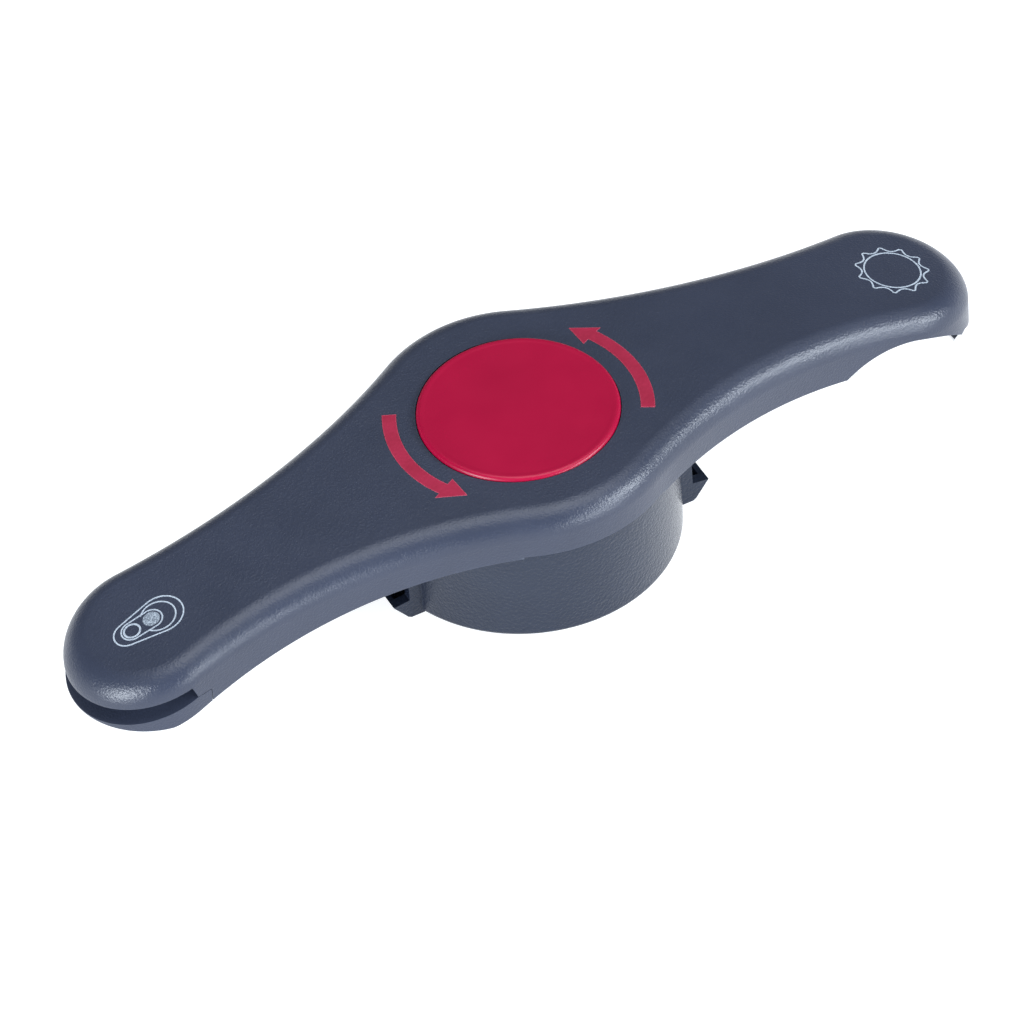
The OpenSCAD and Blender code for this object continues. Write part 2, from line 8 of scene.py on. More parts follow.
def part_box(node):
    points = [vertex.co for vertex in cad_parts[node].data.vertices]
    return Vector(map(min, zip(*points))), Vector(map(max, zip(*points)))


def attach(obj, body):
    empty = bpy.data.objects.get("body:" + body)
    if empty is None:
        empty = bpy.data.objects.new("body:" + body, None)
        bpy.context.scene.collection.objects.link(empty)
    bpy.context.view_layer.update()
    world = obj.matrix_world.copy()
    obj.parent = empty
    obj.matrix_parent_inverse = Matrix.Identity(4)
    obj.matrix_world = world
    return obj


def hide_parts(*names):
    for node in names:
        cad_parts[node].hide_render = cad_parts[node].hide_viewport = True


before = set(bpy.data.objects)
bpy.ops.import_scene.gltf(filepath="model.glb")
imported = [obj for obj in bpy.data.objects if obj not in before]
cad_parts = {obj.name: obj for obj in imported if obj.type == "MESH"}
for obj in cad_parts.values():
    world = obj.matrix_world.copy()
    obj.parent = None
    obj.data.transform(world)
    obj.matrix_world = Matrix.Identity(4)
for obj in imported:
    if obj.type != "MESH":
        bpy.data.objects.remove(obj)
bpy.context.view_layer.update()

# ---------------------------------------------------------------- sizes, in metres
MM = 0.001

shell_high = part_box("handle_shell")[1]
cap_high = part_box("centre_cap")[1]
cup_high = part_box("grip_cup")[1]

END_R = 16.6 * MM                     # radius of the lobe at each end
END_X = 85.6 * MM                     # hub centre to lobe centre
TIP_X = END_X + END_R
HUB_R = shell_high.y                  # radius of the hub
WAIST_R = 119.5 * MM                  # hollow curve between hub and lobe
EDGE_R = 5 * MM                       # rounding of the upper edge
WALL = 2.6 * MM
TOP_T = 5.1 * MM                      # thickness of the top
HUB_TOP = 31.9 * MM
HUB_LOW = 22.3 * MM                   # lower edge of the handle at the hub
TOP_ARCH_R = 405 * MM                 # arches of the top and of the lower edge, seen from the side
LOW_ARCH_R = 307 * MM
LIP_LOW = 9 * MM                      # lowest point of the arms

SLOT_X = 84 * MM                      # closed end of the ring-pull slot
SLOT_LEAN = 0.32                      # how far that end leans towards the tip, per unit of height
SLOT_H = 3.4 * MM                     # height of that end
LIP_X = 80.7 * MM                     # where the lip piece starts
LIP_TOP = 14.6 * MM
LIP_FALL = 0.29                       # fall of the lip towards the tip, per unit of length
FIT = 0.15 * MM                       # gap between pieces that are fastened together
COVER_LIFT = 0.3 * MM                 # how far the cover lies inside the lower edge
COVER_T = 2.6 * MM
COVER_SCREW_X = (-44 * MM, -69 * MM)
SCREW_RECESS_R = 2.8 * MM
SCREW_RECESS_T = 1.8 * MM
SCREW_HOLE_R = 1.6 * MM
SCREW_HOLE_T = 6 * MM

CROWN_X = 78 * MM                     # crown-cap arch
CROWN_R = 22.3 * MM
CROWN_TOP = 18.3 * MM
NUB_X = 94.3 * MM                     # the solid tip starts here
TIP_STEP = 11 * MM                    # its underside beside the crown plate
BEAK_LOW = 8.4 * MM                   # and at the very tip
BEAK_X = (96 * MM, 99.6 * MM)         # where the underside slopes from one to the other

CAP_R = cap_high.x
CAP_TOP = cap_high.z
CAP_FLOOR = 30.2 * MM                 # where the cap rests in the hub
HUB_HOLLOW_R = (10 * MM, 26.5 * MM)   # round hollow under that floor
HUB_HOLLOW_TOP = 27.3 * MM

CUP_R = 31.1 * MM                     # at the top of the cup
CUP_FOOT_R = 31 * MM
CUP_BORE_R = 28 * MM
CUP_ROOF = 19.7 * MM
CUP_TOP = cup_high.z
HOOK_X = 35.2 * MM                    # how far the lid hooks stand out
HOOK_W = 22.3 * MM
HOOK_TURN = -4                        # degrees from the handle's long axis

ARROW_IN = 24 * MM
ARROW_OUT = 26.8 * MM
ARROW_TAIL = -32.5                    # in degrees, as are the tip and the head's length
ARROW_TIP = 34.7
ARROW_HEAD = 11.6
ARROW_BARB = 1.35 * MM                # how far the head stands out past the shaft
ARROW_STEPS = 40                      # points along each curved side

# camera: a long lens from the front left, looking down
CAMERA_AZIMUTH = -28.7
CAMERA_ELEVATION = 44.65
CAMERA_ROLL = 4.42
CAMERA_DISTANCE = 1.761
CAMERA_LENS = 316.4
CAMERA_AIM = Vector((-0.0093, -0.0112, 0.0179))
LIGHT_AIM = Vector((0, 0, 0.02))


# ---------------------------------------------------------------- node helpers
def new_material(name):
    """A material with its node tree, ready for links."""
    material = bpy.data.materials.new(name)
    material.use_nodes = True
    nodes = material.node_tree.nodes
    return material, nodes, material.node_tree.links, nodes["Principled BSDF"]


def object_coords(nodes):
    return nodes.new("ShaderNodeTexCoord").outputs["Object"]


def noise(nodes, links, coords, scale, detail=3.0, rough=0.55):
    node = nodes.new("ShaderNodeTexNoise")
    node.inputs["Scale"].default_value = scale
    node.inputs["Detail"].default_value = detail
    node.inputs["Roughness"].default_value = rough
    links.new(coords, node.inputs["Vector"])
    return node.outputs["Fac"]


def cells(nodes, links, coords, scale):
    node = nodes.new("ShaderNodeTexVoronoi")
    node.feature = "SMOOTH_F1"
    node.inputs["Scale"].default_value = scale
    links.new(coords, node.inputs["Vector"])
    return node.outputs["Distance"]


def ramp(nodes, links, value, low, high, colour_low, colour_high):
    node = nodes.new("ShaderNodeValToRGB")
    node.color_ramp.elements[0].position = low
    node.color_ramp.elements[1].position = high
    node.color_ramp.elements[0].color = (*colour_low, 1)
    node.color_ramp.elements[1].color = (*colour_high, 1)
    links.new(value, node.inputs["Fac"])
    return node.outputs["Color"]


def spread(nodes, links, value, low, high):
    """Stretches a value from 0 to 1 over the span from low to high."""
    node = nodes.new("ShaderNodeMapRange")
    node.inputs["To Min"].default_value = low
    node.inputs["To Max"].default_value = high
    links.new(value, node.inputs["Value"])
    return node.outputs["Result"]


def share(nodes, links, value, low, high):
    """Says how far a value has come from low to high, as 0 to 1."""
    node = nodes.new("ShaderNodeMapRange")
    node.inputs["From Min"].default_value = low
    node.inputs["From Max"].default_value = high
    links.new(value, node.inputs["Value"])
    return node.outputs["Result"]


def maths(nodes, links, kind, a, b):
    node = nodes.new("ShaderNodeMath")
    node.operation = kind
    for socket, value in zip(node.inputs, (a, b)):
        if isinstance(value, (int, float)):
            socket.default_value = value
        else:
            links.new(value, socket)
    return node.outputs["Value"]


def bump(nodes, links, height, distance):
    node = nodes.new("ShaderNodeBump")
    node.inputs["Strength"].default_value = 1
    node.inputs["Distance"].default_value = distance
    links.new(height, node.inputs["Height"])
    return node.outputs["Normal"]


def edge_wear(nodes, links, base, worn):
    """Blends base towards worn along sharp edges, where a rounded normal leaves the true one."""
    geometry = nodes.new("ShaderNodeNewGeometry")
    rounded = nodes.new("ShaderNodeBevel")
    rounded.samples = 6
    rounded.inputs["Radius"].default_value = 0.3 * MM
    dot = nodes.new("ShaderNodeVectorMath")
    dot.operation = "DOT_PRODUCT"
    links.new(rounded.outputs["Normal"], dot.inputs[0])
    links.new(geometry.outputs["Normal"], dot.inputs[1])
    away = maths(nodes, links, "SUBTRACT", 1, dot.outputs["Value"])
    mask = share(nodes, links, away, 0.03, 0.3)
    mix = nodes.new("ShaderNodeMix")
    mix.data_type = "RGBA"
    links.new(mask, mix.inputs["Factor"])
    links.new(base, mix.inputs["A"])
    mix.inputs["B"].default_value = (*worn, 1)
    return mix.outputs["Result"]


# ---------------------------------------------------------------- materials
def grained_plastic(name, dark, light, worn, grain, depth, rough, shine=(1, 1, 1)):
    """Moulded plastic with a leathery grain: cells and wrinkles of one size, faint tones, paler edges."""
    material, nodes, links, shader = new_material(name)
    coords = object_coords(nodes)
    warp = noise(nodes, links, coords, 0.5 / grain, 3.0)
    bent = nodes.new("ShaderNodeVectorMath")
    bent.operation = "ADD"
    links.new(coords, bent.inputs[0])
    links.new(spread(nodes, links, warp, -0.35 * grain, 0.35 * grain), bent.inputs[1])
    pits = cells(nodes, links, bent.outputs["Vector"], 1 / grain)
    wrinkles = noise(nodes, links, coords, 1.6 / grain, 5.0, 0.65)
    height = maths(nodes, links, "ADD", pits, maths(nodes, links, "MULTIPLY", wrinkles, 0.8))
    clouds = noise(nodes, links, coords, 45, 3.0)
    base = ramp(nodes, links, clouds, 0.3, 0.7, dark, light)
    base = edge_wear(nodes, links, base, worn)
    links.new(base, shader.inputs["Base Color"])
    patches = noise(nodes, links, coords, 160, 2.0)
    links.new(spread(nodes, links, patches, rough - 0.06, rough + 0.08), shader.inputs["Roughness"])
    links.new(bump(nodes, links, height, depth), shader.inputs["Normal"])
    shader.inputs["Specular IOR Level"].default_value = 0.36
    shader.inputs["Specular Tint"].default_value = (*shine, 1)
    return material


def satin_red():
    """The cap's plain red plastic, with a very fine texture and faint smears."""
    material, nodes, links, shader = new_material("cap_red")
    coords = object_coords(nodes)
    clouds = noise(nodes, links, coords, 60, 2.0)
    base = ramp(nodes, links, clouds, 0.3, 0.7, (0.24, 0.0003, 0.0225), (0.268, 0.0005, 0.0255))
    base = edge_wear(nodes, links, base, (0.55, 0.05, 0.10))
    links.new(base, shader.inputs["Base Color"])
    fine = noise(nodes, links, coords, 2600, 3.0, 0.6)
    links.new(bump(nodes, links, fine, 0.012 * MM), shader.inputs["Normal"])
    smears = noise(nodes, links, coords, 120, 3.0)
    links.new(spread(nodes, links, smears, 0.30, 0.40), shader.inputs["Roughness"])
    shader.inputs["Specular IOR Level"].default_value = 0.25
    return material


def inlay_red():
    """The arrows' duller red, pitted like the handle."""
    material, nodes, links, shader = new_material("arrow_red")
    coords = object_coords(nodes)
    clouds = noise(nodes, links, coords, 200, 3.0)
    base = ramp(nodes, links, clouds, 0.3, 0.7, (0.22, 0.0068, 0.028), (0.265, 0.0098, 0.038))
    base = edge_wear(nodes, links, base, (0.5, 0.09, 0.14))
    links.new(base, shader.inputs["Base Color"])
    pits = cells(nodes, links, coords, 1500)
    links.new(bump(nodes, links, pits, 0.04 * MM), shader.inputs["Normal"])
    links.new(spread(nodes, links, clouds, 0.5, 0.62), shader.inputs["Roughness"])
    shader.inputs["Specular IOR Level"].default_value = 0.25
    return material


def brushed_metal(name, tone, rough, stretching):
    """Metal with fine scratches, close together along the axes with a large stretching."""
    material, nodes, links, shader = new_material(name)
    coords = object_coords(nodes)
    stretch = nodes.new("ShaderNodeMapping")
    stretch.inputs["Scale"].default_value = stretching
    links.new(coords, stretch.inputs["Vector"])
    lines = noise(nodes, links, stretch.outputs["Vector"], 900, 4.0, 0.7)
    stains = noise(nodes, links, coords, 220, 3.0)
    low = tuple(c * 0.86 for c in tone)
    base = ramp(nodes, links, stains, 0.3, 0.7, low, tone)
    base = edge_wear(nodes, links, base, tuple(min(1, c * 1.12) for c in tone))
    links.new(base, shader.inputs["Base Color"])
    links.new(spread(nodes, links, lines, rough - 0.08, rough + 0.1), shader.inputs["Roughness"])
    links.new(bump(nodes, links, lines, 0.008 * MM), shader.inputs["Normal"])
    shader.inputs["Metallic"].default_value = 1
    return material


def black_rubber():
    """Rubber with pores and a little dust."""
    material, nodes, links, shader = new_material("grip_rubber")
    coords = object_coords(nodes)
    dust = noise(nodes, links, coords, 400, 4.0)
    base = ramp(nodes, links, dust, 0.35, 0.75, (0.014, 0.014, 0.015), (0.03, 0.03, 0.031))
    base = edge_wear(nodes, links, base, (0.06, 0.06, 0.06))
    links.new(base, shader.inputs["Base Color"])
    pores = cells(nodes, links, coords, 2400)
    links.new(bump(nodes, links, pores, 0.03 * MM), shader.inputs["Normal"])
    links.new(spread(nodes, links, dust, 0.68, 0.85), shader.inputs["Roughness"])
    return material


def print_ink(name, gap, dark):
    """Pale ink with darker specks, where it is thin. A larger gap gives more specks."""
    material, nodes, links, shader = new_material(name)
    coords = object_coords(nodes)
    speckle = noise(nodes, links, coords, 3000, 4.0, 0.7)
    base = ramp(nodes, links, speckle, gap, gap + 0.15, dark, (0.33, 0.375, 0.43))
    links.new(base, shader.inputs["Base Color"])
    links.new(spread(nodes, links, speckle, 0.55, 0.7), shader.inputs["Roughness"])
    pits = cells(nodes, links, coords, 1700)
    links.new(bump(nodes, links, pits, 0.03 * MM), shader.inputs["Normal"])
    return material


HANDLE = grained_plastic(
    "handle_plastic", dark=(0.0205, 0.0255, 0.043), light=(0.0245, 0.030, 0.050), worn=(0.04, 0.048, 0.07),
    grain=0.42 * MM, depth=0.06 * MM, rough=0.31
)
CUP = grained_plastic(
    "cup_plastic", dark=(0.008, 0.011, 0.021), light=(0.011, 0.015, 0.027), worn=(0.03, 0.036, 0.052),
    grain=0.62 * MM, depth=0.08 * MM, rough=0.12, shine=(0.80, 0.87, 1.0)
)
INNER = grained_plastic(
    "inner_plastic", dark=(0.10, 0.105, 0.12), light=(0.13, 0.137, 0.155), worn=(0.2, 0.21, 0.23),
    grain=0.8 * MM, depth=0.03 * MM, rough=0.48
)
RED = satin_red()
ARROW = inlay_red()
STEEL = brushed_metal("steel", (0.62, 0.62, 0.63), 0.3, (1, 12, 1))
ZINC = brushed_metal("zinc", (0.56, 0.58, 0.60), 0.36, (3, 3, 1))
RUBBER = black_rubber()
INK = print_ink("print_ink", 0.36, (0.16, 0.19, 0.24))
THIN_INK = print_ink("thin_print_ink", 0.46, (0.09, 0.11, 0.14))


# ---------------------------------------------------------------- mesh helpers
def add_object(name, mesh):
    obj = bpy.data.objects.new(name, mesh)
    bpy.context.scene.collection.objects.link(obj)
    return obj


def from_faces(name, verts, faces):
    mesh = bpy.data.meshes.new(name)
    mesh.from_pydata([tuple(v) for v in verts], [], faces)
    mesh.validate()
    work = bmesh.new()
    work.from_mesh(mesh)
    bmesh.ops.recalc_face_normals(work, faces=work.faces)
    work.to_mesh(mesh)
    work.free()
    return add_object(name, mesh)


def bake_modifiers(obj):
    """Applies the object's modifiers to its mesh."""
    bpy.context.view_layer.update()
    graph = bpy.context.evaluated_depsgraph_get()
    mesh = bpy.data.meshes.new_from_object(obj.evaluated_get(graph))
    obj.modifiers.clear()
    obj.data = mesh


def combine(obj, tools, operation):
    """Cuts, joins or intersects obj with each tool, and removes the tools."""
    for tool in tools:
        step = obj.modifiers.new("step", "BOOLEAN")
        step.operation = operation
        step.object = tool
        step.solver = "EXACT"
    bake_modifiers(obj)
    for tool in tools:
        bpy.data.objects.remove(tool)
    return obj


def soften(obj, width, segments=2, angle=35):
    """Rounds the sharp edges."""
    step = obj.modifiers.new("round", "BEVEL")
    step.width = width
    step.segments = segments
    step.limit_method = "ANGLE"
    step.angle_limit = math.radians(angle)
    step.miter_outer = "MITER_ARC"
    step.use_clamp_overlap = True
    bake_modifiers(obj)
    return obj


def shade(obj, angle=35):
    """Smooth shading that follows the larger faces, broken at sharp edges."""
    obj.data.shade_smooth()
    obj.data.set_sharp_from_angle(angle=math.radians(angle))
    step = obj.modifiers.new("normals", "WEIGHTED_NORMAL")
    step.keep_sharp = True
    step.weight = 60
    bake_modifiers(obj)
    return obj


def finish_piece(obj, material, body, node):
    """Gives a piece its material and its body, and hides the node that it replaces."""
    obj.data.materials.clear()
    obj.data.materials.append(material)
    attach(obj, body)
    if node:
        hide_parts(node)


def arc(cx, cy, r, start, stop, count):
    """Points on a circle, from start to stop in degrees, both included."""
    steps = [math.radians(start + (stop - start) * i / count) for i in range(count + 1)]
    return [(cx + r * math.cos(a), cy + r * math.sin(a)) for a in steps]


def join_outlines(name, near, far):
    """A closed solid between two outlines with the same number of points."""
    n = len(near)
    faces = [(i, (i + 1) % n, n + (i + 1) % n, n + i) for i in range(n)]
    faces += [tuple(range(n - 1, -1, -1)), tuple(range(n, 2 * n))]
    return from_faces(name, near + far, faces)


def prism(name, points, low, high):
    """A flat outline in X and Y, made solid between two heights."""
    return join_outlines(name, [(x, y, low) for x, y in points], [(x, y, high) for x, y in points])


def side_prism(name, points, half_width):
    """An outline in X and Z, carried across the handle."""
    near, far = ([(x, y, z) for x, z in points] for y in (-half_width, half_width))
    return join_outlines(name, near, far)


def clipped(obj, x0, x1):
    """Keeps the part of obj between two distances along X."""
    keep = side_prism("keep", [(x0, -MM), (x1, -MM), (x1, HUB_TOP + MM), (x0, HUB_TOP + MM)], HUB_R + MM)
    return combine(obj, [keep], "INTERSECT")


def tube(name, x, y, r, low, high):
    """An upright round rod."""
    return prism(name, arc(x, y, r, 0, 360, 48)[:-1], low, high)


def lathe(name, profile, count=192):
    """A profile in radius and height, turned round the Z axis. A radius of 0 closes it at the axis."""
    turns = [2 * math.pi * k / count for k in range(count)]
    verts, index = [], []
    for r, z in profile:
        if r < 1e-9:
            index.append([len(verts)] * count)
            verts.append((0, 0, z))
        else:
            index.append(list(range(len(verts), len(verts) + count)))
            verts += [(r * math.cos(t), r * math.sin(t), z) for t in turns]
    faces = []
    m = len(profile)
    closed = profile[0][0] > 1e-9 or profile[-1][0] > 1e-9
    for j in range(m if closed else m - 1):
        a, b = index[j], index[(j + 1) % m]
        for k in range(count):
            quad = [a[k], a[(k + 1) % count], b[(k + 1) % count], b[k]]
            face = list(dict.fromkeys(quad))
            if len(face) > 2:
                faces.append(tuple(face))
    return from_faces(name, verts, faces)


def sleeve(name, r_in, r_out, low, high):
    """A round solid on the Z axis, with a hole through it unless r_in is 0."""
    return lathe(name, [(r_in, low), (r_out, low), (r_out, high), (r_in, high)])


# ---------------------------------------------------------------- the handle's form
hub_to_waist = HUB_R + WAIST_R
end_to_waist = END_R + WAIST_R
WAIST_X = (hub_to_waist ** 2 - end_to_waist ** 2 + END_X ** 2) / (2 * END_X)
WAIST_Y = math.sqrt(hub_to_waist ** 2 - WAIST_X ** 2)
END_ANGLE = math.degrees(math.atan2(WAIST_Y, WAIST_X - END_X))
HUB_ANGLE = math.degrees(math.atan2(WAIST_Y, WAIST_X))


def outline(inset):
    """The handle from above, moved inwards by inset, anticlockwise from the +X tip."""
    quarter = arc(END_X, 0, END_R - inset, 0, END_ANGLE, 36)
    quarter += arc(WAIST_X, WAIST_Y, WAIST_R + inset, END_ANGLE - 180, HUB_ANGLE - 180, 60)[1:]
    quarter += arc(0, 0, HUB_R - inset, HUB_ANGLE, 90, 16)[1:]
    half = quarter + [(-x, y) for x, y in quarter[-2::-1]]
    return half + [(x, -y) for x, y in half[-2:0:-1]]


def top_z(x):
    """Height of the arched top."""
    return HUB_TOP - TOP_ARCH_R + math.sqrt(TOP_ARCH_R ** 2 - x * x)


def ceiling_z(x):
    """Height of the underside of that top, inside the arms."""
    radius = TOP_ARCH_R - TOP_T
    return HUB_TOP - TOP_ARCH_R + math.sqrt(radius ** 2 - x * x)


def low_z(x):
    """Height of the handle's lower edge."""
    return max(LIP_LOW, HUB_LOW - LOW_ARCH_R + math.sqrt(LOW_ARCH_R ** 2 - x * x))


def loft(name, rings):
    """Joins rings of the handle's outline, and closes the first and last with strips across the handle."""
    n = len(rings[0])
    verts = [p for ring in rings for p in ring]
    faces = []
    for j in range(len(rings) - 1):
        for i in range(n):
            a, b = j * n + i, j * n + (i + 1) % n
            faces.append((a, b, b + n, a + n))
    for base in (0, (len(rings) - 1) * n):
        for i in range(n // 2):
            strip = [base + i, base + i + 1, base + (n - i - 1) % n, base + (n - i) % n]
            faces.append(tuple(dict.fromkeys(strip)))
    return from_faces(name, verts, faces)


def handle_skin():
    """The handle's outer form, with its rounded upper edge."""
    steps = 12
    rings = [[(x, y, low_z(x)) for x, y in outline(0)]]
    for j in range(steps + 1):
        turn = math.radians(90 * j / steps)
        inset = EDGE_R * (1 - math.cos(turn))
        drop = EDGE_R * (1 - math.sin(turn))
        rings.append([(x, y, top_z(x) - drop) for x, y in outline(inset)])
    return loft("handle_shell_form", rings)


def arm_hollow(x0, x1):
    """The hollow of one arm, open below."""
    rings = [[(x, y, 0) for x, y in outline(WALL)], [(x, y, ceiling_z(x)) for x, y in outline(WALL)]]
    return clipped(loft("hollow", rings), x0, x1)


def polar(r, degrees):
    """A point by its distance from the axis and its angle."""
    return (r * math.cos(math.radians(degrees)), r * math.sin(math.radians(degrees)))


def arrow_outline(grow):
    """The curved arrow from above, larger by grow all round: inner side, head, outer side."""
    head = ARROW_TIP - ARROW_HEAD
    middle = (ARROW_IN + ARROW_OUT) / 2 - 0.4 * MM
    barb = ARROW_BARB + grow
    extra = math.degrees(grow / ARROW_OUT)
    inner_side = arc(0, 0, ARROW_IN - grow, ARROW_TAIL - extra, head, ARROW_STEPS)
    outer_side = arc(0, 0, ARROW_OUT + grow, head, ARROW_TAIL - extra, ARROW_STEPS)
    inner_barb = polar(ARROW_IN - barb - 0.3 * MM, head - extra)
    point = polar(middle, ARROW_TIP + 2 * extra)
    outer_barb = polar(ARROW_OUT + barb, head - extra)
    return inner_side + [inner_barb, point, outer_barb] + outer_side


def turned(points, degrees):
    c, s = math.cos(math.radians(degrees)), math.sin(math.radians(degrees))
    return [(c * x - s * y, s * x + c * y) for x, y in points]


def arrow_solid(name, degrees, grow, depth, proud):
    """A curved arrow whose faces follow the arched top."""
    points = turned(arrow_outline(grow), degrees)
    n = len(points)
    verts = [(x, y, top_z(x) - depth) for x, y in points] + [(x, y, top_z(x) + proud) for x, y in points]
    faces = [(i, (i + 1) % n, n + (i + 1) % n, n + i) for i in range(n)]
    half = ARROW_STEPS + 1
    for base in (0, n):
        for i in range(half - 1):
            faces.append((base + i, base + i + 1, base + n - 2 - i, base + n - 1 - i))
        inner, tip = base + half, base + half + 1
        faces.append((base + half - 1, inner, tip, tip + 1, base + half + 3))
    return from_faces(name, verts, faces)


def slot_face_z(x):
    """Upper face of the lip under the ring-pull slot."""
    return LIP_TOP - FIT - LIP_FALL * max(0, -x - SLOT_X)


def build_handle_shell():
    """The long moulding: its skin, less the slot, the crown arch, the tip's step, seats and hollows."""
    shell = handle_skin()
    far = TIP_X + 2 * MM
    start = SLOT_X + SLOT_LEAN * SLOT_H
    slot_roof = [(-x, ceiling_z(x)) for x in [start + (far - start) * i / 30 for i in range(31)]]
    slot_floor = [(-far, 0), (-LIP_X, 0), (-LIP_X, LIP_TOP), (-SLOT_X, LIP_TOP)]
    slot = side_prism("slot", slot_floor + slot_roof, HUB_R)
    crown = side_prism("crown", arc(CROWN_X, CROWN_TOP - CROWN_R, CROWN_R, 0, 360, 240)[:-1], HUB_R)
    beak = [(far, BEAK_LOW), (BEAK_X[1], BEAK_LOW), (BEAK_X[0], TIP_STEP)]
    tip = side_prism("tip", [(NUB_X, -MM), (far, -MM)] + beak + [(NUB_X, TIP_STEP)], HUB_R)
    cup_seat = sleeve("cup_seat", 0, CUP_R + 0.5 * MM, 0, HUB_LOW)
    cap_seat = sleeve("cap_seat", 0, CAP_R + 0.2 * MM, CAP_FLOOR, HUB_TOP + 8.1 * MM)
    hub = sleeve("hub", *HUB_HOLLOW_R, HUB_LOW - MM, HUB_HOLLOW_TOP)
    web = clipped(prism("web", outline(WALL), 0, LIP_TOP), -LIP_X - MM, -LIP_X + WALL + MM)
    hollows = [arm_hollow(-LIP_X + WALL, -HUB_R - 2 * MM), arm_hollow(HUB_R + 2 * MM, NUB_X)]
    combine(shell, [slot, crown, tip, cup_seat, cap_seat, hub, web] + hollows, "DIFFERENCE")
    soften(shell, 0.22 * MM)
    combine(shell, [arrow_solid("groove", turn, 0.06 * MM, 0.7 * MM, MM) for turn in (0, 180)], "DIFFERENCE")
    shade(shell)
    shell.name = "handle_shell_look"
    finish_piece(shell, HANDLE, "handle", "handle_shell")


def build_left_cover():
    """The lip under the ring-pull slot, its web and the strip that closes the arm."""
    outer, inner = outline(0), outline(WALL + FIT)
    lip_floor = [(x, y, low_z(x)) for x, y in outer]
    lip_face = [(x, y, max(slot_face_z(x), low_z(x) + 0.1 * MM)) for x, y in outer]
    lip = clipped(loft("lip", [lip_floor, lip_face]), -TIP_X - MM, -LIP_X - FIT)
    strip_low = [(x, y, low_z(x) + COVER_LIFT) for x, y in inner]
    strip_high = [(x, y, low_z(x) + COVER_LIFT + COVER_T) for x, y in inner]
    strip = clipped(loft("strip", [strip_low, strip_high]), -LIP_X + WALL + FIT, -HUB_R - 2.2 * MM)
    web = loft("web", [strip_low, [(x, y, LIP_TOP - FIT) for x, y in inner]])
    web = clipped(web, -LIP_X - 2 * MM, -LIP_X + WALL + 0.6 * MM)
    combine(lip, [strip, web], "UNION")
    holes = []
    for x in COVER_SCREW_X:
        holes.append(tube("recess", x, 0, SCREW_RECESS_R, low_z(x) - MM, low_z(x) + SCREW_RECESS_T))
        holes.append(tube("hole", x, 0, SCREW_HOLE_R, low_z(x), low_z(x) + SCREW_HOLE_T))
    combine(lip, holes, "DIFFERENCE")
    soften(lip, 0.3 * MM, 3)
    shade(lip)
    lip.name = "left_arm_cover_look"
    finish_piece(lip, HANDLE, "handle", "left_arm_cover")


def build_hook(name):
    """Lid hook in its own frame: sloping lip, floor and a rib at each end."""
    toe, rib, wall = HOOK_X - 3 * MM, 2.2 * MM, CUP_BORE_R + 0.5 * MM
    lip_z, floor_t, rib_x, rib_top = 4.3 * MM, 1.3 * MM, HOOK_X - 3.6 * MM, 20 * MM
    front = [(wall, 0), (toe - 0.7 * MM, 0), (toe, 0.4 * MM), (toe + 0.6 * MM, 1.2 * MM), (HOOK_X, lip_z)]
    lip_back = [(HOOK_X - 1.2 * MM, lip_z), (toe - 0.2 * MM, floor_t), (wall, floor_t)]
    rib_back = [(rib_x, lip_z + 0.4 * MM), (rib_x, rib_top), (wall, rib_top)]
    hook = side_prism(name, front + lip_back, HOOK_W / 2)
    ribs = []
    for side in (-1, 1):
        web = side_prism("rib", front + rib_back, rib / 2)
        web.data.transform(Matrix.Translation((0, side * (HOOK_W - rib) / 2, 0)))
        ribs.append(web)
    combine(hook, ribs, "UNION")
    return soften(hook, 0.25 * MM, 2)


def build_cup():
    """The round cup under the hub, with its two lid hooks."""
    foot_r, rim_r, bevel = MM, 0.6 * MM, 0.4 * MM
    foot = arc(CUP_FOOT_R - foot_r, foot_r, foot_r, -90, 0, 8)
    rim = arc(CUP_R - rim_r, CUP_TOP - rim_r, rim_r, 0, 90, 5)
    wall_h, flare, rows = CUP_TOP - foot_r - rim_r, CUP_R - CUP_FOOT_R, 6
    wall = [(CUP_FOOT_R + flare * i / rows, foot_r + wall_h * i / rows) for i in range(1, rows)]
    bore = [(CUP_BORE_R, CUP_ROOF), (CUP_BORE_R, bevel), (CUP_BORE_R + bevel, 0)]
    cup = lathe("grip_cup_look", [(0, CUP_TOP), (0, CUP_ROOF)] + bore + foot + wall + rim)
    hooks = []
    for turn in (HOOK_TURN, HOOK_TURN + 180):
        hook = build_hook("hook")
        combine(hook, [sleeve("bore", 0, CUP_BORE_R + 0.3 * MM, -MM, HUB_TOP)], "DIFFERENCE")
        hook.data.transform(Matrix.Rotation(math.radians(turn), 4, "Z"))
        hooks.append(hook)
    combine(cup, hooks, "UNION")
    shade(cup)
    finish_piece(cup, CUP, "handle", "grip_cup")


def build_cap():
    """The red cap: a rounded rim round a face that lies a little lower."""
    lip, face_z = 0.9 * MM, CAP_TOP - 0.1 * MM
    rounded = arc(CAP_R - lip, CAP_TOP - lip, lip, 0, 90, 8)
    face = [(CAP_R - 1.5 * MM, CAP_TOP - 0.05 * MM), (CAP_R - 1.9 * MM, face_z)]
    face += [(r * MM, face_z) for r in (14, 8, 3, 0)]
    cap = lathe("centre_cap_look", [(0, CAP_FLOOR), (CAP_R, CAP_FLOOR)] + rounded + face)
    shade(cap, 60)
    finish_piece(cap, RED, "handle", "centre_cap")


def build_arrows():
    """The two curved red inlays, a little proud of the top."""
    for name, turn in (("arrow_inlay_rear", 0), ("arrow_inlay_front", 180)):
        arrow = arrow_solid(name + "_look", turn, 0, 0.65 * MM, 0.06 * MM)
        soften(arrow, 0.08 * MM, 2)
        shade(arrow)
        finish_piece(arrow, ARROW, "handle", name)


# ---------------------------------------------------------------- printed marks
INK_DEPTH = 0.08 * MM                 # how far the printed lines reach down into the plastic


